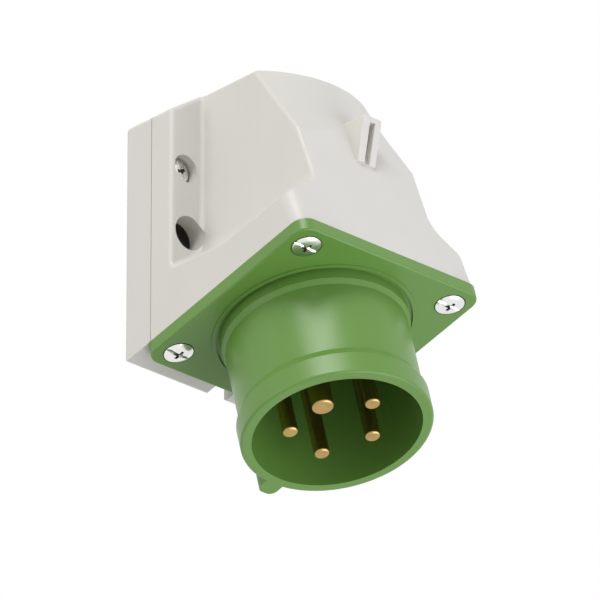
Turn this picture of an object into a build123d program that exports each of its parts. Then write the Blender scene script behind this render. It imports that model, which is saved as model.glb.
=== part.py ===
"""Wall inlet for a 16 A five-pin round plug connector: arched hood, tilted flange and collar.

Millimetres. X runs to the right, Y into the wall and Z up. The wall's face is the XZ plane,
and the origin lies on it, midway between the two wall fixings. The word out means a distance
from the wall, along -Y. Heights along the pins are measured out of the flange's seat.
"""
from build123d import *
import os
from math import cos, radians, sin, sqrt, tan

os.makedirs("parts", exist_ok=True)

# Housing
width = 75.0                 # across the back box, the hood's foot and the flange
roof_height = 49.9           # flat top, above the wall fixings
shoulder_drop = 9.1          # sides end this far below the roof
roof_half = 24.1             # half width of the flat top
shoulder_round = 2.0         # sides to shoulders
roof_round = 9.0             # shoulders to the flat top
wall = 2.6                   # moulded wall of hood and back box
base_depth = 11.8            # back box, out from the wall
rear_round = 1.2             # back box's edge at the wall
seam_gap = 0.3               # between back box and hood, closed by the seal
seal_width = 1.1
seal_inset = 0.7             # how far the seal lies inside the outline
seal_groove = 0.8            # depth of its groove in the back box

# Hood
ledge_out = 21.2             # front-facing ledges at the hood's sides
knee_out = 45.8              # where the foot's top turns to follow the flange
body_half = 24.6             # half width of the raised middle
front_lean = 19.7            # front face, degrees from upright
front_crown = 2.4            # bulge of the front at the roof, over the raised middle
ridge_set_back = 2.5         # front edge of the roof, behind the front's slope
ridge_crown = 9.9            # how far that edge falls back at the sides
brow_lean = 25.3             # face between ridge and front, on the centre line
brow_crown = 0.7             # bulge of that face at its foot
brow_depth = 32.4            # its foot below the roof
crest_height = 13.0          # top of the foot's sides at the knee, above the flange centre
flare_angle = 35.0           # foot's shoulders, rising to the raised middle, degrees
flare_round = 9.0            # hollow between shoulder and middle
foot_corner = 5.0            # front corners of the foot
edge_round = 1.4             # other outer edges of the hood
ledge_round = 1.5            # outer and inner edges of the ledges

# Lug on the hood's front, for a lanyard
lug_width = 7.5
lug_drop = 18.5              # its top, below the roof
lug_height = 14.9
lug_reach = 9.4              # out from the hood's front at its top
lug_foot = 1.2               # and at its foot
lug_root = 1.5               # how deep the lug is rooted in the hood's wall
lug_slot = 2.2
lug_slot_floor = 0.3         # slot's floor, in front of the hood
lug_skin = 1.8               # wall over the slot
lug_round = 0.5

# Flange and collar
flange_tilt = 15.0
flange_out = 44.5            # flange centre from the wall
flange_drop = 27.5           # flange centre below the wall fixings
flange_thickness = 3.8
flange_corner = 5.0
flange_edge_round = 0.7
gasket_thickness = 0.5
gasket_inset = 1.6           # gasket's seat inside the flange's edge
disc_radius = 32.1           # raised ring on the flange
disc_rise = 0.35
neck_radius = 29.6
neck_height = 7.6
groove_width = 1.2           # between raised ring and neck
groove_depth = 0.8
collar_radius = 28.7
collar_start = 9.3
rim_radius = 30.1
rim_start = 34.3
rim_step = 0.25              # sharp step where the thicker rim starts
rim_slope = 2.6
mouth_height = 44.5
bore_radius = 26.65
lip_round = 0.9
key_width = 6.6
key_round = 2.4
key_reach = 34.4             # from the collar's axis
key_length = 20.0

# Screws
hole_inset = 7.5             # flange screws from the flange's edges
head_sink = 1.1              # flange screw heads, below the face
flange_screw_head = 4.6
flange_screw_shank = 1.9
flange_screw_reach = 4.6     # past the flange's seat
head_rim = 1.2               # upright edge of the larger heads
head_dome = 1.0
small_head_rim = 0.9
small_head_dome = 0.4
head_gap = 0.35              # clearance round a sunk head
shank_gap = 0.25
thread_gap = 0.05            # between a shank and its pilot hole
tip_gap = 0.3                # beyond a shank's end
boss_wall = 1.85
fixing_inset = 7.5           # wall fixings from the housing's sides
fixing_hole_radius = 2.6
access_radius = 5.7          # holes in the ledges, for the wall fixings
hood_screw_inset = 6.0       # from the housing's sides
hood_screw_z = 21.8
hood_screw_head = 3.7
hood_screw_shank = 1.75
well_gap = 0.9               # round the head, in the ledge's well
well_wall = 1.0
well_depth = 6.7             # head's seat below the ledge
access_depth = 6.0           # tubes behind the holes in the ledges
hood_screw_tip = 4.5         # out from the wall

# Pins and their carrier
pin_circle = 14.15
pin_radius = 2.5
earth_radius = 3.5
pin_tip = 42.3
earth_tip = 44.5
earth_angle = 150.0
pin_step = 72.0
pin_round = 0.8
root_step = 0.3              # thicker root inside the carrier
root_set_back = 0.2          # its end behind the carrier's face
relief_width = 0.6           # turned groove where the shaft meets the root
relief_depth = 0.25
pin_fit = 0.05
carrier_face = 5.0           # bottom of the collar's hollow
carrier_fit = 0.15
carrier_flange_radius = 30.6
carrier_flange_thickness = 2.4
carrier_radius = 21.5
carrier_depth = 13.0         # behind the flange's seat
opening_radius = 31.4        # hood's floor, round the carrier
barrel_radius = 4.3
barrel_length = 11.0
wire_radius = 2.0
wire_depth = 8.5
terminal_height = 8.0        # terminal screws, behind the flange's seat
terminal_screw_radius = 1.5
terminal_screw_head = 2.2
terminal_seat = 4.7          # its head's seat, from the pin's axis
terminal_window = 2.7        # radius of the carrier's access holes
guard_thickness = 0.4
guard_width = 2.4
guard_length = 6.0
guard_seat = 1.0             # guard's inner face from the pin's axis
retainer_thickness = 2.2
wire_gap = 0.5               # cover's wire holes, round the bores in the pins
retainer_screw_spacing = 11.0
retainer_screw_radius = 1.4
retainer_screw_head = 2.6
retainer_screw_length = 9.0
carrier_screw_circle = 28.75
carrier_screw_radius = 1.1
carrier_screw_head = 1.8
carrier_screw_reach = 3.4    # past the flange's seat

# Rear cable entry and the slot under it
entry_radius = 10.5
entry_height = 14.0          # above the wall fixings
grommet_lip = 1.9
grommet_gap = 0.3            # round the rear lip, in its recess
grommet_wall = 2.0
grommet_rear_gap = 0.1       # between its rear lip and the wall
grommet_lip_thickness = 1.1
grommet_membrane = 1.0
drain_width = 8.0
drain_height = 6.5           # above the back box's lower edge
drain_depth = 8.5            # out from the wall

# Planes
tilt = radians(flange_tilt)
wall_face = Plane.XZ
side = Plane(origin=(0, 0, 0), x_dir=(0, -1, 0), z_dir=(-1, 0, 0))
flange_face = Plane(
    origin=(0, -flange_out, -flange_drop), x_dir=(1, 0, 0), z_dir=(0, -sin(tilt), -cos(tilt))
)
below = -flange_drop - width          # deep enough for every trim
foot_out = flange_out + width / 2 * cos(tilt)
foot_height = width / 2 * sin(tilt) - flange_drop
hood_rear = base_depth + seam_gap
shoulder_height = roof_height - shoulder_drop
front_slope = tan(radians(front_lean))
ridge_out = foot_out - (roof_height - foot_height) * front_slope - ridge_set_back
brow_foot = roof_height - brow_depth
hole_spacing = width - 2 * hole_inset
fixing_spacing = width - 2 * fixing_inset
hood_screw_x = width / 2 - hood_screw_inset
lower_edge = -flange_drop - flange_out * tan(tilt)      # back box's lowest point, at the wall
flange_seat = gasket_thickness
flange_front = gasket_thickness + flange_thickness
well_floor = ledge_out - well_depth
guard_top = guard_seat + guard_thickness
pin_axis = Axis(flange_face.origin, flange_face.z_dir)
axial = Plane(origin=flange_face.origin, x_dir=(1, 0, 0), z_dir=-flange_face.y_dir)
inward = Plane(origin=flange_face.origin, x_dir=(1, 0, 0), z_dir=-flange_face.z_dir)
pin_names = ["pin_earth", "pin_neutral", "pin_l1", "pin_l2", "pin_l3"]
pin_angles = [earth_angle + pin_step * i for i in range(len(pin_names))]


def housing_outline(inset=0.0):
    """Front view: straight sides, sloping shoulders and a flat top, held in by inset."""
    slope = (roof_height - shoulder_height) / (width / 2 - roof_half)
    shift = inset * (sqrt(1 + slope**2) - slope)
    edge = width / 2 - inset
    top = roof_height - inset
    high = roof_half - inset * (sqrt(1 + slope**2) - 1) / slope
    low = min(shoulder_height - shift, top)
    with BuildSketch() as outline:
        with BuildLine():
            Polyline((0, below), (edge, below), (edge, low), (high, top), (0, top))
            mirror(about=Plane.YZ)
        make_face()
        fillet(outline.vertices().filter_by(lambda v: abs(v.Y - top) < 0.01), radius=roof_round - inset)
        if not inset:
            fillet(outline.vertices().filter_by(lambda v: abs(v.Y - low) < 0.01), radius=shoulder_round)
    return outline.sketch


def middle_outline(inset=0.0):
    """Front view of the hood's raised middle: the housing's top between two upright sides."""
    with BuildSketch() as outline:
        add(housing_outline(inset))
        Rectangle(2 * (body_half - inset), 4 * width, mode=Mode.INTERSECT)
    return outline.sketch


def foot_outline(inset=0.0):
    """Front view of the hood's foot at the knee: sides, sloping shoulders and their hollows."""
    slope = radians(flare_angle)
    half = width / 2 - inset
    inner = body_half - inset
    crest = crest_height - flange_drop - inset * tan((radians(90) - slope) / 2)
    hollow = flare_round + inset
    corner = crest + (half - inner) * tan(slope)
    run = hollow * tan((radians(90) - slope) / 2)
    low = (inner + run * cos(slope), corner - run * sin(slope))
    high = (inner, corner + run)
    bend = (radians(90) - slope) / 2
    middle = (inner + hollow - hollow * cos(bend), corner + run - hollow * sin(bend))
    with BuildSketch() as outline:
        with BuildLine():
            Polyline((0, below), (half, below), (half, crest), low)
            ThreePointArc(low, middle, high)
            Line(high, (0, high[1]))
            mirror(about=Plane.YZ)
        make_face()
    return outline.sketch


def crowned_section(height, out, crown, half):
    """Plan-view area behind a front edge that falls back by crown at the raised middle's sides."""
    radius = (body_half**2 + crown**2) / (2 * crown)
    fall = radius - sqrt(radius**2 - half**2)
    with BuildSketch(Plane.XY.offset(height)) as section:
        with BuildLine():
            ThreePointArc((-half, fall - out), (0, -out), (half, fall - out))
            Polyline((half, fall - out), (half, width), (-half, width), (-half, fall - out))
        make_face()
    return section.sketch


def front_form(inset=0.0):
    """Everything behind the hood's front, which is flat at the flange and crowned at the roof."""
    low = foot_height - width / 4
    high = roof_height + wall
    back = inset / cos(radians(front_lean))
    with BuildPart() as form:
        for height, crown in ((low, front_crown / 50), (high, front_crown)):
            out = foot_out - (height - foot_height) * front_slope - back
            add(crowned_section(height, out, crown, width / 2 + wall))
        loft(ruled=True)
    return form.part


def brow_form(inset=0.0):
    """Everything in front of the brow, the face that joins the curved ridge to the front."""
    lean = tan(radians(brow_lean))
    back = inset / cos(radians(brow_lean))
    rise = (roof_height + wall - brow_foot) / (roof_height - brow_foot)
    half = body_half + 1
    with BuildPart() as behind:
        for share in (0, rise):
            height = brow_foot + (roof_height - brow_foot) * share
            out = ridge_out + (roof_height - height) * lean - back
            add(crowned_section(height, out, brow_crown + (ridge_crown - brow_crown) * share, half))
        loft(ruled=True)
    with BuildPart() as form:
        with BuildSketch(Plane.XY.offset(brow_foot)):
            with Locations((0, -width)):
                Rectangle(2 * half, width)
        extrude(amount=(roof_height - brow_foot) * rise)
        add(behind.part, mode=Mode.SUBTRACT)
    return form.part


def hood_form(inset=0.0):
    """Solid with the hood's outer shape, held in by inset."""
    with BuildPart() as form:
        with BuildSketch(wall_face.offset(hood_rear)):
            add(housing_outline(inset))
        extrude(amount=ledge_out - inset - hood_rear)
        with BuildSketch(wall_face.offset(hood_rear)):
            add(middle_outline(inset))
        extrude(amount=foot_out - hood_rear)
        with BuildSketch(wall_face.offset(knee_out)) as foot:
            add(foot_outline(inset))
        extrude(foot.sketch, amount=hood_rear - knee_out)
        reach = (foot_out - knee_out) / cos(tilt) + wall
        extrude(foot.sketch, amount=reach, dir=(0, -cos(tilt), sin(tilt)))
        split(bisect_by=flange_face.offset(-inset), keep=Keep.BOTTOM)
        add(front_form(inset), mode=Mode.INTERSECT)
        add(brow_form(inset), mode=Mode.SUBTRACT)
    return form.part


def rim_outline(inset):
    """Back box's outline at the seam, with its lower edge, held in by inset."""
    with BuildSketch() as outline:
        add(housing_outline(inset))
        with Locations((0, lower_edge + base_depth * tan(tilt) + inset / cos(tilt))):
            Rectangle(2 * width, 4 * width, align=(Align.CENTER, Align.MIN), mode=Mode.INTERSECT)
    return outline.sketch


def screw(head, rim, dome, shank, reach):
    """Domed screw with a cross recess: seat at z = 0, head above it and shank below."""
    top = rim + dome
    bulge = (head**2 + dome**2) / (2 * dome)
    with BuildPart() as one:
        with BuildSketch(Plane.XZ):
            with BuildLine():
                Polyline((0, top), (0, -reach), (shank, -reach), (shank, 0), (head, 0), (head, rim))
                ThreePointArc((head, rim), (head / 2, top - bulge + sqrt(bulge**2 - head**2 / 4)), (0, top))
            make_face()
        revolve(axis=Axis.Z)
        with BuildSketch(Plane.XY.offset(top)):
            Rectangle(1.1 * head, head / 4)
            Rectangle(head / 4, 1.1 * head)
        extrude(amount=-0.6 * top, taper=12, mode=Mode.SUBTRACT)
    return one.part


def radial_plane(angle, reach):
    """Plane across a terminal screw's axis, reach outwards from the axis of the pin at angle."""
    turn = radians(angle)
    spot = ((pin_circle + reach) * cos(turn), (pin_circle + reach) * sin(turn), -terminal_height)
    outwards = flange_face.x_dir * cos(turn) + flange_face.y_dir * sin(turn)
    return Plane(origin=flange_face.from_local_coords(spot), x_dir=flange_face.z_dir, z_dir=outwards)


def both_sides(shape, *points):
    """Edges of shape nearest to the given (x, out, z) points and to their mirror images."""
    found = ShapeList()
    for x, out, z in points:
        for mirrored in (x, -x):
            found += shape.edges().sort_by_distance((mirrored, -out, z))[:1]
    return found


# Back box
with BuildPart() as base_hollow:
    with BuildSketch(wall_face.offset(wall)):
        add(housing_outline(wall))
    extrude(amount=base_depth)
    split(bisect_by=flange_face.offset(-wall), keep=Keep.BOTTOM)

with BuildPart() as back_box:
    with BuildSketch(wall_face):
        add(housing_outline())
    extrude(amount=base_depth)
    split(bisect_by=flange_face, keep=Keep.BOTTOM)
    fillet(back_box.faces().sort_by(Axis.Y)[-1].edges(), radius=rear_round)
    add(base_hollow.part, mode=Mode.SUBTRACT)
    with BuildSketch(wall_face.offset(wall)):
        with Locations((-hood_screw_x, hood_screw_z), (hood_screw_x, hood_screw_z)):
            Circle(hood_screw_shank + boss_wall)
    extrude(amount=hood_rear - wall)
    with BuildSketch(wall_face.offset(hood_rear)):
        with Locations((-hood_screw_x, hood_screw_z), (hood_screw_x, hood_screw_z)):
            Circle(hood_screw_shank + thread_gap)
    extrude(amount=hood_screw_tip - tip_gap - hood_rear, mode=Mode.SUBTRACT)
    with BuildSketch(wall_face):
        with GridLocations(fixing_spacing, 1, 2, 1):
            Circle(fixing_hole_radius)
        with Locations((0, entry_height)):
            Circle(entry_radius)
    extrude(amount=wall, mode=Mode.SUBTRACT)
    with BuildSketch(wall_face):
        with Locations((0, entry_height)):
            Circle(entry_radius + grommet_lip + grommet_gap)
    extrude(amount=grommet_lip_thickness + grommet_rear_gap, mode=Mode.SUBTRACT)
    with BuildSketch(wall_face):
        with Locations((0, lower_edge + drain_height)):
            Rectangle(drain_width, 2 * drain_height, align=(Align.CENTER, Align.MAX))
    extrude(amount=drain_depth, mode=Mode.SUBTRACT)
    with BuildSketch(wall_face.offset(base_depth)):
        add(rim_outline(seal_inset))
        add(rim_outline(seal_inset + seal_width), mode=Mode.SUBTRACT)
    extrude(amount=-seal_groove, mode=Mode.SUBTRACT)
back_box.part.label = "back_box"
export_step(back_box.part, "parts/back_box.step")

with BuildPart() as hood_seal:
    with BuildSketch(wall_face.offset(base_depth - seal_groove)):
        add(rim_outline(seal_inset))
        add(rim_outline(seal_inset + seal_width), mode=Mode.SUBTRACT)
    extrude(amount=seal_groove + seam_gap)
hood_seal.part.label = "hood_seal"
export_step(hood_seal.part, "parts/hood_seal.step")

# Hood
hood_inside = hood_form(wall)
lug_high = roof_height - lug_drop
lug_low = lug_high - lug_height
lug_low_out = foot_out - (lug_low - foot_height) * front_slope
lug_high_out = foot_out - (lug_high - foot_height) * front_slope
side_crest = crest_height - flange_drop
crest_front = foot_out - 2 * foot_corner
crest_rise = (crest_front - knee_out) * tan(tilt)
front_side = foot_out - flare_round        # rough positions, to pick out edges by
brow_side = foot_out - 2 * flare_round

with BuildPart() as hood:
    add(hood_form())
    ledge_feet = both_sides(
        hood,
        (body_half, ledge_out, brow_foot),
        (body_half + flare_round / 7, ledge_out, side_crest + flare_round + ledge_round),
        (width / 2 - flare_round / 2, ledge_out, side_crest + flare_round / 3),
    )
    fillet(ledge_feet, radius=ledge_round)
    ledge_rims = both_sides(
        hood,
        (width / 2, ledge_out, 0),
        (width / 2 - shoulder_round / 8, ledge_out, shoulder_height),
        ((width / 2 + body_half) / 2, ledge_out, (shoulder_height + roof_height) / 2),
    )
    fillet(ledge_rims, radius=ledge_round)
    fillet(both_sides(hood, (width / 2, foot_out, foot_height + wall)), radius=foot_corner)
    front_rims = both_sides(
        hood,
        (width / 2, ledge_out + 2 * ledge_round, side_crest),
        (width / 2, crest_front, side_crest + crest_rise),
        (width / 2 - flare_round / 2, front_side, foot_height + 2 * flare_round - ledge_round),
        (body_half + flare_round / 7, front_side, side_crest + crest_rise + flare_round),
        (body_half, brow_side, brow_foot),
        (body_half, ridge_out, (roof_height + brow_foot) / 2),
        (body_half, ledge_out + 2 * ledge_round, roof_height),
    )
    fillet(front_rims, radius=edge_round)
    add(hood_inside, mode=Mode.SUBTRACT)
    with BuildSketch(flange_face):
        with GridLocations(hole_spacing, hole_spacing, 2, 2):
            Circle(flange_screw_shank + boss_wall)
    extrude(amount=-flange_screw_reach - tip_gap - boss_wall)
    with BuildSketch(wall_face.offset(hood_rear)):
        with Locations((-hood_screw_x, hood_screw_z), (hood_screw_x, hood_screw_z)):
            Circle(hood_screw_head + well_gap + well_wall)
    extrude(amount=ledge_out - wall / 2 - hood_rear)
    with BuildSketch(wall_face.offset(ledge_out - access_depth)):
        with GridLocations(fixing_spacing, 1, 2, 1):
            Circle(access_radius + wall / 2)
    extrude(amount=access_depth - wall / 2)
    split(bisect_by=wall_face.offset(hood_rear), keep=Keep.TOP)
    with BuildSketch(wall_face.offset(well_floor)):
        with Locations((-hood_screw_x, hood_screw_z), (hood_screw_x, hood_screw_z)):
            Circle(hood_screw_head + well_gap)
    extrude(amount=well_depth, mode=Mode.SUBTRACT)
    with BuildSketch(wall_face.offset(hood_rear)):
        with Locations((-hood_screw_x, hood_screw_z), (hood_screw_x, hood_screw_z)):
            Circle(hood_screw_shank + shank_gap)
    extrude(amount=well_depth, mode=Mode.SUBTRACT)
    with BuildSketch(wall_face.offset(ledge_out + ledge_round)):
        with GridLocations(fixing_spacing, 1, 2, 1):
            Circle(access_radius)
    extrude(amount=-access_depth - ledge_round, mode=Mode.SUBTRACT)
    with BuildSketch(flange_face):
        with GridLocations(hole_spacing, hole_spacing, 2, 2):
            Circle(flange_screw_shank + thread_gap)
    extrude(amount=-flange_screw_reach - tip_gap, mode=Mode.SUBTRACT)
    with BuildSketch(flange_face):
        Circle(opening_radius)
    extrude(amount=-2 * wall, mode=Mode.SUBTRACT)

with BuildPart() as lug:
    with BuildSketch(side):
        Polygon(
            (lug_low_out - lug_root, lug_low),
            (lug_low_out + lug_foot, lug_low),
            (lug_high_out + lug_reach, lug_high),
            (lug_high_out - lug_root, lug_high),
            align=None,
        )
    extrude(amount=lug_width / 2, both=True)
    lug_rims = lug.faces().sort_by(Axis.Y)[0].edges()
    fillet(lug_rims + lug.edges().filter_by(Axis.Y).sort_by(Axis.Z)[-2:], radius=lug_round)
    with BuildSketch(side):
        Polygon(
            (lug_low_out + lug_slot_floor + lug_skin * front_slope, lug_low - lug_skin),
            (lug_low_out + width, lug_low - lug_skin),
            (lug_high_out + width, lug_high - lug_skin),
            (lug_high_out + lug_slot_floor + lug_skin * front_slope, lug_high - lug_skin),
            align=None,
        )
    extrude(amount=lug_slot / 2, both=True, mode=Mode.SUBTRACT)

with BuildPart() as hood_with_lug:
    add(hood.part)
    add(lug.part)
hood_with_lug.part.label = "hood"
export_step(hood_with_lug.part, "parts/hood.step")

with BuildPart() as hood_screws:
    with Locations(wall_face.offset(well_floor)):
        with Locations((-hood_screw_x, hood_screw_z), (hood_screw_x, hood_screw_z)):
            add(screw(hood_screw_head, head_rim, head_dome, hood_screw_shank, well_floor - hood_screw_tip))
hood_screws.part.label = "hood_screws"
export_step(hood_screws.part, "parts/hood_screws.step")

# Flange with its collar, gasket and screws
with BuildPart() as flange_gasket:
    with BuildSketch(flange_face):
        RectangleRounded(width - 2 * gasket_inset, width - 2 * gasket_inset, flange_corner - gasket_inset)
        Circle(opening_radius, mode=Mode.SUBTRACT)
        with GridLocations(hole_spacing, hole_spacing, 2, 2):
            Circle(flange_screw_shank + shank_gap, mode=Mode.SUBTRACT)
    extrude(amount=gasket_thickness)
flange_gasket.part.label = "flange_gasket"
export_step(flange_gasket.part, "parts/flange_gasket.step")

with BuildPart() as flange_collar:
    with BuildSketch(flange_face):
        RectangleRounded(width, width, flange_corner)
    extrude(amount=flange_front)
    fillet(flange_collar.faces().sort_by(pin_axis)[-1].edges(), radius=flange_edge_round)
    with BuildSketch(flange_face):
        RectangleRounded(width - 2 * gasket_inset, width - 2 * gasket_inset, flange_corner - gasket_inset)
    extrude(amount=flange_seat, mode=Mode.SUBTRACT)
    with BuildSketch(axial) as profile:
        with BuildLine():
            Polyline(
                (bore_radius - wall, flange_seat),
                (disc_radius, flange_seat),
                (disc_radius, flange_front + disc_rise),
                (neck_radius, flange_front + disc_rise),
                (neck_radius, neck_height),
                (collar_radius, collar_start),
                (collar_radius, rim_start),
                (collar_radius + rim_step, rim_start),
                (rim_radius, rim_start + rim_slope),
                (rim_radius, mouth_height),
                (bore_radius - wall, mouth_height),
                close=True,
            )
        make_face()
        fillet(profile.vertices().sort_by_distance((rim_radius, mouth_height))[0], radius=lip_round)
    revolve(axis=pin_axis)
    with BuildSketch(flange_face.offset(flange_front + disc_rise)):
        Circle(neck_radius + groove_width)
        Circle(neck_radius, mode=Mode.SUBTRACT)
    extrude(amount=-groove_depth, mode=Mode.SUBTRACT)
    with BuildSketch(flange_face.offset(mouth_height)) as key:
        with Locations((0, -key_reach)):
            Rectangle(key_width, key_reach - bore_radius, align=(Align.CENTER, Align.MIN))
        fillet(key.vertices().sort_by(Axis.Y)[:2], radius=key_round)
    extrude(amount=-key_length)
    with BuildSketch(flange_face):
        Circle(bore_radius)
    extrude(amount=2 * mouth_height, mode=Mode.SUBTRACT)
    with BuildSketch(flange_face):
        with GridLocations(hole_spacing, hole_spacing, 2, 2):
            Circle(flange_screw_shank + shank_gap)
    extrude(amount=2 * flange_front, mode=Mode.SUBTRACT)
    with BuildSketch(flange_face.offset(flange_front)):
        with GridLocations(hole_spacing, hole_spacing, 2, 2):
            Circle(flange_screw_head + head_gap)
    extrude(amount=-head_sink, mode=Mode.SUBTRACT)
    with BuildSketch(flange_face.offset(flange_seat)):
        with PolarLocations(carrier_screw_circle, 3):
            Circle(carrier_screw_radius + thread_gap)
    extrude(amount=carrier_screw_reach + tip_gap - flange_seat, mode=Mode.SUBTRACT)
flange_collar.part.label = "flange_collar"
export_step(flange_collar.part, "parts/flange_collar.step")

with BuildPart() as flange_screws:
    with Locations(flange_face.offset(flange_front - head_sink)):
        with GridLocations(hole_spacing, hole_spacing, 2, 2):
            add(
                screw(
                    flange_screw_head,
                    head_rim,
                    head_dome,
                    flange_screw_shank,
                    flange_front - head_sink + flange_screw_reach,
                )
            )
flange_screws.part.label = "flange_screws"
export_step(flange_screws.part, "parts/flange_screws.step")

# Pin carrier, its cover and screws
with BuildPart() as pin_carrier:
    with BuildSketch(axial):
        with BuildLine():
            Polyline(
                (0, -carrier_depth),
                (carrier_radius, -carrier_depth),
                (carrier_radius, flange_seat - carrier_flange_thickness),
                (carrier_flange_radius, flange_seat - carrier_flange_thickness),
                (carrier_flange_radius, flange_seat),
                (bore_radius - carrier_fit, flange_seat),
                (bore_radius - carrier_fit, carrier_face),
                (0, carrier_face),
                close=True,
            )
        make_face()
    revolve(axis=pin_axis)
    with BuildSketch(flange_face.offset(-carrier_depth)):
        with PolarLocations(pin_circle, len(pin_names), earth_angle):
            Circle(barrel_radius + pin_fit)
    extrude(amount=barrel_length, mode=Mode.SUBTRACT)
    with BuildSketch(flange_face.offset(-carrier_depth)):
        with PolarLocations(pin_circle, len(pin_names), earth_angle):
            Circle(pin_radius + root_step + pin_fit)
        with PolarLocations(pin_circle, 1, earth_angle):
            Circle(earth_radius + root_step + pin_fit)
    extrude(amount=carrier_depth + carrier_face, mode=Mode.SUBTRACT)
    with BuildSketch(*[radial_plane(angle, 0) for angle in pin_angles]):
        Circle(terminal_window)
    extrude(amount=carrier_radius - pin_circle + wall, mode=Mode.SUBTRACT)
    with BuildSketch(flange_face.offset(flange_seat)):
        with PolarLocations(carrier_screw_circle, 3):
            Circle(carrier_screw_radius + shank_gap)
    extrude(amount=-carrier_flange_thickness, mode=Mode.SUBTRACT)
    with BuildSketch(flange_face.offset(-carrier_depth)):
        with GridLocations(retainer_screw_spacing, 1, 2, 1):
            Circle(retainer_screw_radius + thread_gap)
    extrude(amount=retainer_screw_length - retainer_thickness + tip_gap, mode=Mode.SUBTRACT)
pin_carrier.part.label = "pin_carrier"
export_step(pin_carrier.part, "parts/pin_carrier.step")

with BuildPart() as pin_retainer:
    with BuildSketch(flange_face.offset(-carrier_depth)):
        Circle(carrier_radius)
        with PolarLocations(pin_circle, len(pin_names), earth_angle):
            Circle(wire_radius + wire_gap, mode=Mode.SUBTRACT)
        with GridLocations(retainer_screw_spacing, 1, 2, 1):
            Circle(retainer_screw_radius + shank_gap, mode=Mode.SUBTRACT)
    extrude(amount=-retainer_thickness)
pin_retainer.part.label = "pin_retainer"
export_step(pin_retainer.part, "parts/pin_retainer.step")

with BuildPart() as retainer_screws:
    with Locations(inward.offset(carrier_depth + retainer_thickness)):
        with GridLocations(retainer_screw_spacing, 1, 2, 1):
            add(
                screw(
                    retainer_screw_head,
                    small_head_rim,
                    small_head_dome,
                    retainer_screw_radius,
                    retainer_screw_length,
                )
            )
retainer_screws.part.label = "retainer_screws"
export_step(retainer_screws.part, "parts/retainer_screws.step")

with BuildPart() as carrier_screws:
    with Locations(inward.offset(carrier_flange_thickness - flange_seat)):
        with PolarLocations(carrier_screw_circle, 3):
            add(
                screw(
                    carrier_screw_head,
                    small_head_rim,
                    small_head_dome,
                    carrier_screw_radius,
                    carrier_flange_thickness - flange_seat + carrier_screw_reach,
                )
            )
carrier_screws.part.label = "carrier_screws"
export_step(carrier_screws.part, "parts/carrier_screws.step")

# Pins with their wire terminals
for pin_name, angle in zip(pin_names, pin_angles):
    radius = earth_radius if angle == earth_angle else pin_radius
    tip = earth_tip if angle == earth_angle else pin_tip
    with BuildPart() as pin:
        with BuildSketch(flange_face.offset(-carrier_depth)):
            with PolarLocations(pin_circle, 1, angle):
                Circle(barrel_radius)
        extrude(amount=barrel_length)
        with BuildSketch(flange_face.offset(barrel_length - carrier_depth)):
            with PolarLocations(pin_circle, 1, angle):
                Circle(radius + root_step)
        extrude(amount=carrier_depth - barrel_length + carrier_face - root_set_back)
        with BuildSketch(flange_face.offset(carrier_face - root_set_back)):
            with PolarLocations(pin_circle, 1, angle):
                Circle(radius)
        extrude(amount=tip - carrier_face + root_set_back)
        fillet(pin.edges().sort_by(pin_axis)[-1], radius=pin_round)
        with BuildSketch(flange_face.offset(carrier_face - root_set_back)):
            with PolarLocations(pin_circle, 1, angle):
                Circle(radius)
                Circle(radius - relief_depth, mode=Mode.SUBTRACT)
        extrude(amount=relief_width, mode=Mode.SUBTRACT)
        with BuildSketch(flange_face.offset(-carrier_depth)):
            with PolarLocations(pin_circle, 1, angle):
                Circle(wire_radius)
        extrude(amount=wire_depth, mode=Mode.SUBTRACT)
        with BuildSketch(radial_plane(angle, 0)):
            Circle(terminal_screw_radius + thread_gap)
        extrude(amount=barrel_radius + wall, mode=Mode.SUBTRACT)
    pin.part.label = pin_name
    export_step(pin.part, f"parts/{pin_name}.step")

with BuildPart() as terminal_screws:
    with Locations(*[radial_plane(angle, terminal_seat) for angle in pin_angles]):
        add(
            screw(
                terminal_screw_head,
                small_head_rim,
                small_head_dome,
                terminal_screw_radius,
                terminal_seat - guard_top,
            )
        )
terminal_screws.part.label = "terminal_screws"
export_step(terminal_screws.part, "parts/terminal_screws.step")

with BuildPart() as wire_guards:
    with BuildSketch(*[radial_plane(angle, guard_seat) for angle in pin_angles]):
        Rectangle(guard_length, guard_width)
    extrude(amount=guard_thickness)
wire_guards.part.label = "wire_guards"
export_step(wire_guards.part, "parts/wire_guards.step")

# Grommet in the rear cable entry
lip_radius = entry_radius + grommet_lip
waist_radius = entry_radius - pin_fit
sleeve_radius = entry_radius - grommet_wall
recess = grommet_lip_thickness + grommet_rear_gap
with BuildPart() as cable_grommet:
    with BuildSketch(side):
        with BuildLine():
            Polyline(
                (recess, entry_height),
                (recess, entry_height + sleeve_radius),
                (grommet_rear_gap, entry_height + sleeve_radius),
                (grommet_rear_gap, entry_height + lip_radius),
                (recess, entry_height + lip_radius),
                (recess, entry_height + waist_radius),
                (wall, entry_height + waist_radius),
                (wall, entry_height + lip_radius),
                (wall + grommet_lip_thickness, entry_height + lip_radius),
                (wall + grommet_lip_thickness, entry_height + sleeve_radius),
                (recess + grommet_membrane, entry_height + sleeve_radius),
                (recess + grommet_membrane, entry_height),
                close=True,
            )
        make_face()
    revolve(axis=Axis((0, 0, entry_height), (0, 1, 0)))
cable_grommet.part.label = "cable_grommet"
export_step(cable_grommet.part, "parts/cable_grommet.step")
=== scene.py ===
"""Looks for a pin-and-sleeve wall inlet: moulded grey hood, green flange and collar, brass pins."""

from math import cos, pi, radians, sin, sqrt

import bpy
from mathutils import Matrix, Vector


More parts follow.
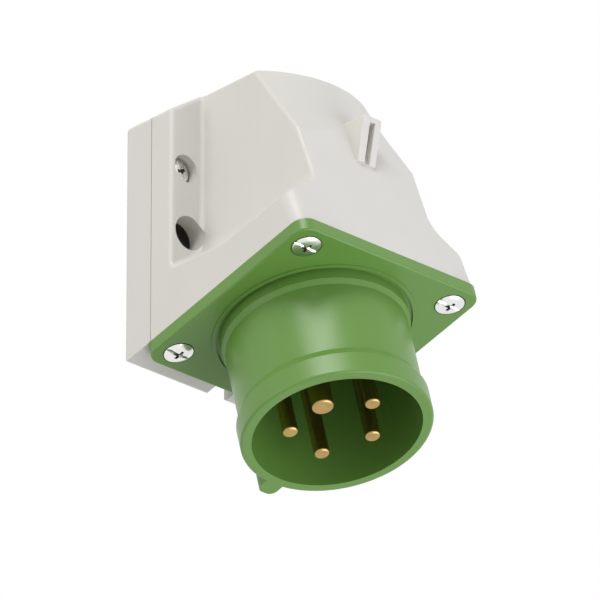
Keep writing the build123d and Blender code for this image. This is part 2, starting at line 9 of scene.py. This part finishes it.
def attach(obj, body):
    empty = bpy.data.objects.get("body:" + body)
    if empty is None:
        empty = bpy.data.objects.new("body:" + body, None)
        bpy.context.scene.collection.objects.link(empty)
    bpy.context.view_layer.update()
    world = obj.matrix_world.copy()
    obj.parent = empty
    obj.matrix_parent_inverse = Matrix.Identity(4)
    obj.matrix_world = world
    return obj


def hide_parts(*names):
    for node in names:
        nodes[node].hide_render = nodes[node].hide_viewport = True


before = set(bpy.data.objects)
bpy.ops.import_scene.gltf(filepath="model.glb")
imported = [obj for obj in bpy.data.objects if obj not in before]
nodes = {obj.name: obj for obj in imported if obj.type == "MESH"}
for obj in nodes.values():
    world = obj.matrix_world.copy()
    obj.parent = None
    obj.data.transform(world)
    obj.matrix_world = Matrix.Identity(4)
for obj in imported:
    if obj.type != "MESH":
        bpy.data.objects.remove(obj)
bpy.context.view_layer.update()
scene = bpy.context.scene
scene.view_settings.view_transform = "Standard"

FLANGE_CENTRE = Vector((0, -0.0445, -0.0275))     # on the hood's foot, where the flange lies

# Camera: below and to the left of the inlet, looking up into the collar from far away
TURN = radians(42.699)
RISE = radians(25.938)
DISTANCE = 3.7037
FIELD = 0.184646              # metres across the picture, at the flange
SENSOR = 36
FRAME_SHIFT = (-0.01977, 0.02983)

towards = Vector((-sin(TURN) * cos(RISE), -cos(TURN) * cos(RISE), -sin(RISE)))
right = Vector((cos(TURN), -sin(TURN), 0))
up = towards.cross(right)
bpy.ops.object.camera_add(location=FLANGE_CENTRE + towards * DISTANCE)
camera = bpy.context.object
camera.name = "camera"
camera.rotation_euler = Matrix((right, up, towards)).transposed().to_euler()
camera.data.sensor_width = SENSOR
camera.data.lens = SENSOR * DISTANCE / FIELD
camera.data.shift_x, camera.data.shift_y = FRAME_SHIFT
camera.data.clip_start = 0.1
camera.data.clip_end = 100
scene.camera = camera


# Sockets of the Mix node that carry colours
MIX_COLOUR_A = 6
MIX_COLOUR_B = 7
MIX_COLOUR_RESULT = 2


class Shade:
    """A node socket that takes part in sums, so that an expression adds its Math nodes."""

    def __init__(self, finish, socket):
        self.finish = finish
        self.socket = socket

    def math(self, operation, first, second):
        return self.finish.node("ShaderNodeMath", {"operation": operation}, {0: first, 1: second})

    def __add__(self, other):
        return self.math("ADD", self, other)

    def __radd__(self, other):
        return self.math("ADD", other, self)

    def __sub__(self, other):
        return self.math("SUBTRACT", self, other)

    def __rsub__(self, other):
        return self.math("SUBTRACT", other, self)

    def __mul__(self, other):
        return self.math("MULTIPLY", self, other)

    def __rmul__(self, other):
        return self.math("MULTIPLY", other, self)

    def above(self, level, softness):
        """0 below level - softness, 1 above level + softness, smooth between."""
        return self.finish.node(
            "ShaderNodeMapRange",
            {"interpolation_type": "SMOOTHSTEP"},
            {"Value": self, "From Min": level - softness, "From Max": level + softness},
        )


class Finish:
    """One material: its nodes and the sockets of its shader."""

    def __init__(self, name):
        self.material = bpy.data.materials.new(name)
        self.material.use_nodes = True
        self.tree = self.material.node_tree
        self.shader = self.tree.nodes["Principled BSDF"]
        self.place = Shade(self, self.tree.nodes.new("ShaderNodeTexCoord").outputs["Object"])

    def node(self, kind, settings, inputs, output=0):
        """Adds a node, sets it up, fills its sockets and returns its output."""
        made = self.tree.nodes.new(kind)
        for key, value in settings.items():
            setattr(made, key, value)
        for key, value in inputs.items():
            self.feed(made.inputs[key], value)
        return Shade(self, made.outputs[output])

    def feed(self, socket, value):
        """Links a shade to the socket, or sets the socket to a plain value."""
        if isinstance(value, Shade):
            self.tree.links.new(value.socket, socket)
        else:
            socket.default_value = value

    def noise(self, scale, detail, roughness, stretch=(1, 1, 1)):
        """Soft noise on the piece's own coordinates, scale in features per metre."""
        spot = self.node("ShaderNodeMapping", {}, {"Vector": self.place, "Scale": stretch})
        return self.node(
            "ShaderNodeTexNoise",
            {},
            {"Vector": spot, "Scale": scale, "Detail": detail, "Roughness": roughness},
        )

    def mix(self, share, first, second):
        """The first colour where share is 0, the second where it is 1."""
        colours = {"Factor": share, MIX_COLOUR_A: first, MIX_COLOUR_B: second}
        return self.node("ShaderNodeMix", {"data_type": "RGBA"}, colours, MIX_COLOUR_RESULT)

    def bump(self, height, depth, strength):
        """Surface relief, depth in metres where height is 1."""
        relief = {"Height": height, "Distance": depth, "Strength": strength}
        return self.node("ShaderNodeBump", {}, relief)

    def set(self, **sockets):
        """Sets sockets of the shader, named with underscores for blanks."""
        for name, value in sockets.items():
            self.feed(self.shader.inputs[name.replace("_", " ")], value)


def rgba(red, green, blue):
    """Colour for a socket, opaque."""
    return (red, green, blue, 1.0)


MICRON = 0.000001
BLOOM_GAIN = 1.25     # how much paler rubber is where it has bloomed


def moulded_plastic(name, light, dark, rough):
    """Injection-moulded plastic: faint flow clouds, a fine spark-eroded grain and uneven gloss."""
    finish = Finish(name)
    clouds = finish.noise(38, 3, 0.55, (1, 1, 0.6))
    grain = finish.noise(5200, 2, 0.6)
    waves = finish.noise(120, 2, 0.5)
    finish.set(
        Base_Color=finish.mix(clouds.above(0.5, 0.22), rgba(*light), rgba(*dark)),
        Roughness=rough + (waves - 0.5) * 0.08 + (grain - 0.5) * 0.05,
        Normal=finish.bump(grain * 0.6 + waves * 0.9, 20 * MICRON, 0.35),
    )
    return finish.material


def turned_brass(name):
    """Brass pins: fine lathe rings and clouds of tarnish."""
    finish = Finish(name)
    tarnish = finish.noise(240, 3, 0.6)
    lathe = finish.noise(9000, 1, 0.4, (0.05, 0.25, 1))
    finish.set(
        Base_Color=finish.mix(
            tarnish.above(0.55, 0.2), rgba(0.49, 0.335, 0.125), rgba(0.42, 0.285, 0.103)
        ),
        Metallic=1.0,
        Roughness=0.30 + (tarnish - 0.5) * 0.12,
        Normal=finish.bump(lathe, 10 * MICRON, 0.3),
    )
    return finish.material


def bright_plate(name):
    """Bright plated screws: a satin mirror with faint handling marks."""
    finish = Finish(name)
    marks = finish.noise(900, 3, 0.6)
    scuffs = finish.noise(2600, 2, 0.7, (1, 0.15, 1))
    finish.set(
        Base_Color=finish.mix(marks, rgba(0.86, 0.855, 0.84), rgba(0.77, 0.765, 0.75)),
        Metallic=1.0,
        Roughness=0.2 + (marks - 0.5) * 0.08 + (scuffs - 0.5) * 0.05,
        Normal=finish.bump(scuffs, 10 * MICRON, 0.25),
    )
    return finish.material


def shade_painted_recess(name):
    """Floor and walls of the cross: the same plate, duller, its colour darkened as painted shade in the
    recess.
    """
    finish = Finish(name)
    streaks = finish.noise(2400, 2, 0.6)
    finish.set(
        Base_Color=finish.mix(streaks, rgba(0.30, 0.30, 0.30), rgba(0.18, 0.18, 0.18)),
        Metallic=1.0,
        Roughness=0.5 + (streaks - 0.5) * 0.2,
        Normal=finish.bump(streaks, 10 * MICRON, 0.3),
    )
    return finish.material


def zinc_plate(name):
    """Zinc-plated steel: satin, faintly mottled."""
    finish = Finish(name)
    spangle = finish.noise(1100, 3, 0.6)
    finish.set(
        Base_Color=finish.mix(spangle, rgba(0.66, 0.66, 0.63), rgba(0.56, 0.56, 0.52)),
        Metallic=1.0,
        Roughness=0.38 + (spangle - 0.5) * 0.15,
        Normal=finish.bump(spangle, 10 * MICRON, 0.3),
    )
    return finish.material


def rubber(name, shade):
    """Moulded rubber: matte with a fine powdery grain."""
    finish = Finish(name)
    bloom = finish.noise(160, 3, 0.6)
    grain = finish.noise(4200, 2, 0.6)
    pale = tuple(value * BLOOM_GAIN for value in shade)
    finish.set(
        Base_Color=finish.mix(bloom.above(0.52, 0.2), rgba(*shade), rgba(*pale)),
        Roughness=0.72 + (bloom - 0.5) * 0.15,
        Normal=finish.bump(grain, 30 * MICRON, 0.4),
    )
    return finish.material


housing_grey = moulded_plastic("housing_grey", (0.735, 0.718, 0.672), (0.715, 0.698, 0.653), 0.40)
collar_green = moulded_plastic("collar_green", (0.134, 0.289, 0.051), (0.128, 0.277, 0.048), 0.36)
carrier_green = moulded_plastic("carrier_green", (0.085, 0.175, 0.050), (0.078, 0.160, 0.045), 0.5)
pin_brass = turned_brass("pin_brass")
screw_plate = bright_plate("screw_plate")
# The cross's faces get this darker plate: painted shade in the recess
screw_recess_painted_shade = shade_painted_recess("screw_recess_painted_shade")
terminal_zinc = zinc_plate("terminal_zinc")
seal_rubber = rubber("seal_rubber", (0.045, 0.045, 0.045))
grommet_rubber = rubber("grommet_rubber", (0.20, 0.20, 0.20))

finishes = {
    "back_box": housing_grey,
    "hood": housing_grey,
    "hood_seal": seal_rubber,
    "hood_screws": screw_plate,
    "flange_collar": collar_green,
    "flange_gasket": seal_rubber,
    "flange_screws": screw_plate,
    "pin_carrier": carrier_green,
    "pin_retainer": carrier_green,
    "retainer_screws": terminal_zinc,
    "carrier_screws": terminal_zinc,
    "pin_earth": pin_brass,
    "pin_neutral": pin_brass,
    "pin_l1": pin_brass,
    "pin_l2": pin_brass,
    "pin_l3": pin_brass,
    "terminal_screws": terminal_zinc,
    "wire_guards": terminal_zinc,
    "cable_grommet": grommet_rubber,
}
for node_name, material in finishes.items():
    slots = nodes[node_name].data.materials
    slots.clear()
    slots.append(material)

# Screws, in millimetres: their seats and shanks are those of the plain screws that they replace
MM = 0.001
TILT = radians(15)
OUT_OF_FLANGE = Vector((0, -sin(TILT), -cos(TILT)))
OUT_OF_WALL = Vector((0, -1, 0))
FLANGE_HOLE_SPACING = 60
FLANGE_SCREW_SEAT = 3.2      # out from the hood's foot
HOOD_SCREW_SEAT = 14.5       # from the wall
HOOD_SCREW_X = 31.5
HOOD_SCREW_Z = 21.8
HOOD_SLOT_TURN = radians(22) # from upright
HEAD_SIDES = 72
HEAD_DOME = 1.0
DOME_STEPS = (0.93, 0.84, 0.74, 0.62, 0.48, 0.32, 0.14)     # of the head's radius
POINT_SHARE = 0.7            # how far the shank narrows at its tip
SLOT_LENGTH = 2.4            # of the head's radius, so that it runs out at both sides
SLOT_WIDTH = 1.4
CROSS_WIDTH = 1.25
CROSS_REACH = 0.53           # of the head's radius
CROSS_SHORT = 0.28           # the same, for the arms that lie in the slot
CROSS_TAPER = 0.8            # width of those arms beside the other two
SLOT_DEPTH = 1.1
CROSS_DEPTH = 1.6
SHORT_ARM_RISE = 0.1         # how much shallower they are
RECESS_SKIN = 0.22           # rounded edge of the recess that stays bright, without the painted shade
EDGE_ROUND = 0.12
MERGE = 0.01                 # points closer than this become one
SPARE = 0.02                 # by which a face's centre may lie outside the groove it is in


def take(piece):
    """Leaves only this piece selected and active."""
    bpy.ops.object.select_all(action="DESELECT")
    piece.select_set(True)
    bpy.context.view_layer.objects.active = piece


def edit_faces(piece, chosen):
    """Goes into edit mode with only the chosen faces selected."""
    if piece.mode == "EDIT":
        bpy.ops.object.mode_set(mode="OBJECT")
    take(piece)
    for part in (piece.data.vertices, piece.data.edges, piece.data.polygons):
        part.foreach_set("select", [False] * len(part))
    for face in piece.data.polygons:
        face.select = chosen(face)
    bpy.ops.object.mode_set(mode="EDIT")
    bpy.ops.mesh.select_mode(type="FACE")


def finish_modifier(piece, kind, **settings):
    """Adds a modifier, sets it up and applies it."""
    take(piece)
    modifier = piece.modifiers.new(kind.lower(), kind)
    for key, value in settings.items():
        setattr(modifier, key, value)
    bpy.ops.object.modifier_apply(modifier=modifier.name)


def number_by_place(piece):
    """Numbers points and faces by their place, because a boolean numbers them anew on each run."""
    points = [tuple(round(value, 5) for value in vertex.co) for vertex in piece.data.vertices]
    order = sorted(range(len(points)), key=points.__getitem__)
    rank = {old: new for new, old in enumerate(order)}
    faces = []
    for face in piece.data.polygons:
        corners = [rank[old] for old in face.vertices]
        first = corners.index(min(corners))
        faces.append(corners[first:] + corners[:first])
    piece.data.clear_geometry()
    piece.data.from_pydata([points[old] for old in order], [], sorted(faces))


def cut_recess(screw, top, depth, length, width, taper):
    """Cuts a groove of this depth below the head's top, with a bar whose floor is narrower by taper."""
    bpy.ops.object.select_all(action="DESELECT")
    bpy.ops.mesh.primitive_cube_add(size=1)
    bar = bpy.context.object
    bar.scale = (length, width, 2 * depth)
    bar.location.z = top
    bpy.ops.object.transform_apply(location=True, rotation=True, scale=True)
    edit_faces(bar, lambda face: face.normal.z < -0.9)
    bpy.ops.transform.resize(value=taper)
    bpy.ops.object.mode_set(mode="OBJECT")
    finish_modifier(screw, "BOOLEAN", object=bar, operation="DIFFERENCE", solver="EXACT")
    bpy.data.objects.remove(bar, do_unlink=True)
    number_by_place(screw)


def slotted_screw(head, rim, shank, reach):
    """Domed screw with a slot across its head and a cross in the middle, its seat at z = 0."""
    top = rim + HEAD_DOME
    bulge = (head**2 + HEAD_DOME**2) / (2 * HEAD_DOME)
    bpy.ops.object.select_all(action="DESELECT")
    bpy.ops.mesh.primitive_cylinder_add(
        vertices=HEAD_SIDES, radius=head, depth=rim, location=(0, 0, rim / 2)
    )
    screw = bpy.context.object
    bpy.ops.object.transform_apply(location=True, rotation=True, scale=True)
    radius = head
    rise = 0.0
    for share in DOME_STEPS:
        inner = head * share
        height = sqrt(bulge**2 - inner**2) - bulge + HEAD_DOME
        edit_faces(screw, lambda face: face.normal.z > 0.999)
        bpy.ops.mesh.inset(thickness=radius - inner, depth=height - rise)
        radius = inner
        rise = height
    edit_faces(screw, lambda face: face.normal.z < -0.999)
    bpy.ops.mesh.inset(thickness=head - shank, depth=0)
    point = shank / 3
    for drop in (reach - point, point):
        bpy.ops.mesh.extrude_region_move(TRANSFORM_OT_translate={"value": (0, 0, -drop)})
    bpy.ops.transform.resize(value=(POINT_SHARE, POINT_SHARE, 1))
    bpy.ops.object.mode_set(mode="OBJECT")
    long_arms = 2 * CROSS_REACH * head
    short_arms = 2 * CROSS_SHORT * head
    short_depth = CROSS_DEPTH - SHORT_ARM_RISE
    cut_recess(screw, top, SLOT_DEPTH, SLOT_LENGTH * head, SLOT_WIDTH, (1, 0.8, 1))
    cut_recess(screw, top, CROSS_DEPTH, CROSS_WIDTH, long_arms, (0.7, 0.6, 1))
    cut_recess(screw, top, short_depth, short_arms, CROSS_WIDTH * CROSS_TAPER, (0.7, 0.8, 1))
    sharp = {"limit_method": "ANGLE", "angle_limit": radians(35)}
    finish_modifier(screw, "BEVEL", width=EDGE_ROUND, segments=2, **sharp)
    edit_faces(screw, lambda face: True)
    bpy.ops.mesh.remove_doubles(threshold=MERGE)
    bpy.ops.object.mode_set(mode="OBJECT")
    bpy.ops.object.shade_smooth_by_angle(angle=radians(30))
    screw.data.materials.append(screw_plate)
    screw.data.materials.append(screw_recess_painted_shade)
    # Faces sunk into the cross get the darker plate, as painted shade
    for face in screw.data.polygons:
        spot = face.center
        dome = top - (spot.x**2 + spot.y**2) / (2 * bulge)
        sunk = dome - spot.z > RECESS_SKIN and spot.z > top - CROSS_DEPTH - MERGE
        in_long_arm = abs(spot.x) < CROSS_WIDTH / 2 + SPARE and 2 * abs(spot.y) < long_arms
        in_short_arm = abs(spot.y) < SLOT_WIDTH / 2 + SPARE and 2 * abs(spot.x) < short_arms
        face.material_index = int(sunk and (in_long_arm or in_short_arm))
    return screw


def place_screws(name, pattern, seats, outwards, along_slot, replaced):
    """Copies the pattern screw to each seat, head outwards, and removes the pattern."""
    turn = Matrix((along_slot, outwards.cross(along_slot), outwards)).transposed().to_4x4()
    for number, seat in enumerate(seats, 1):
        mesh = pattern.data.copy()
        mesh.transform(Matrix.Translation(seat) @ turn @ Matrix.Scale(MM, 4))
        piece = bpy.data.objects.new(f"{name}_{number}", mesh)
        scene.collection.objects.link(piece)
        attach(piece, "root")
        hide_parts(replaced)
    bpy.data.objects.remove(pattern, do_unlink=True)


half = FLANGE_HOLE_SPACING / 2
sideways = Vector((1, 0, 0))
in_flange = OUT_OF_FLANGE.cross(sideways)
flange_seats = [
    FLANGE_CENTRE + (sideways * x + in_flange * y + OUT_OF_FLANGE * FLANGE_SCREW_SEAT) * MM
    for x in (-half, half)
    for y in (-half, half)
]
hood_seats = [Vector((x, -HOOD_SCREW_SEAT, HOOD_SCREW_Z)) * MM for x in (-HOOD_SCREW_X, HOOD_SCREW_X)]
hood_slot = Vector((sin(HOOD_SLOT_TURN), 0, -cos(HOOD_SLOT_TURN)))
flange_pattern = slotted_screw(head=4.6, rim=1.2, shank=1.9, reach=7.8)
place_screws("flange_screw", flange_pattern, flange_seats, OUT_OF_FLANGE, sideways, "flange_screws")
hood_pattern = slotted_screw(head=3.7, rim=3.8, shank=1.75, reach=10.0)
place_screws("hood_screw", hood_pattern, hood_seats, OUT_OF_WALL, hood_slot, "hood_screws")


def soft_lamp(name, direction, distance, size, level, colour=(1.0, 1.0, 1.0)):
    """Round lamp aimed at the flange. At level 1 a white surface that faces it looks white."""
    aim = Vector(direction).normalized()
    bpy.ops.object.light_add(type="AREA", location=FLANGE_CENTRE + aim * distance)
    lamp = bpy.context.object
    lamp.name = name
    lamp.data.shape = "DISK"
    lamp.data.size = size
    lamp.data.energy = level * pi**2 * distance**2
    lamp.data.color = colour
    lamp.visible_camera = False
    lamp.rotation_euler = aim.to_track_quat("Z", "Y").to_euler()


soft_lamp("key_lamp", (-0.45, -0.49, 0.745), 2.2, 0.75, 0.212)
soft_lamp("key_lamp_low", (-0.65, -0.35, 0.65), 2.2, 0.75, 0.267)
soft_lamp("fill_lamp", (0.30, -0.70, -0.60), 2.4, 2.8, 0.86, (0.91, 0.91, 1.0))
soft_lamp("left_lamp", (-1.0, 0.25, 0.10), 2.2, 1.3, 0.225, (1.0, 0.97, 0.91))

# Surroundings: an even pale light, white where the camera, a mirror or glass sees them
AMBIENT = 0.36
FLOOR_BOUNCE = (0.10, 0.10, 0.10)   # light that the floor gives the object
FLOOR_GLOW = (0.65, 0.65, 0.65)     # what the floor lacks to look white, for the same rays
FLOOR_DEPTH = 5
FLOOR_SIZE = 40
world = bpy.data.worlds.new("surroundings")
scene.world = world
world.use_nodes = True
sky = world.node_tree
backdrop = sky.nodes["Background"]
path = sky.nodes.new("ShaderNodeLightPath")
seen = path.outputs["Is Camera Ray"]
for ray in ("Is Glossy Ray", "Is Transmission Ray"):
    either = sky.nodes.new("ShaderNodeMath")
    either.operation = "MAXIMUM"
    sky.links.new(seen, either.inputs[0])
    sky.links.new(path.outputs[ray], either.inputs[1])
    seen = either.outputs[0]
strength = sky.nodes.new("ShaderNodeMapRange")
strength.inputs["To Min"].default_value = AMBIENT
sky.links.new(seen, strength.inputs["Value"])
sky.links.new(strength.outputs["Result"], backdrop.inputs["Strength"])
backdrop.inputs["Color"].default_value = (1, 1, 1, 1)

bpy.ops.mesh.primitive_plane_add(size=FLOOR_SIZE, location=(0, 0, -FLOOR_DEPTH))
floor = bpy.context.object
floor.name = "floor"
paving = Finish("floor_white")
rays = paving.tree.nodes.new("ShaderNodeLightPath")
watched = Shade(paving, rays.outputs["Is Camera Ray"])
for ray in ("Is Glossy Ray", "Is Transmission Ray"):
    watched = watched.math("MAXIMUM", watched, Shade(paving, rays.outputs[ray]))
paving.set(
    Base_Color=rgba(0.9, 0.9, 0.9),
    Roughness=0.9,
    Specular_IOR_Level=0.0,
    Emission_Color=paving.mix(watched, rgba(*FLOOR_BOUNCE), rgba(*FLOOR_GLOW)),
    Emission_Strength=1.0,
)
floor.data.materials.append(paving.material)
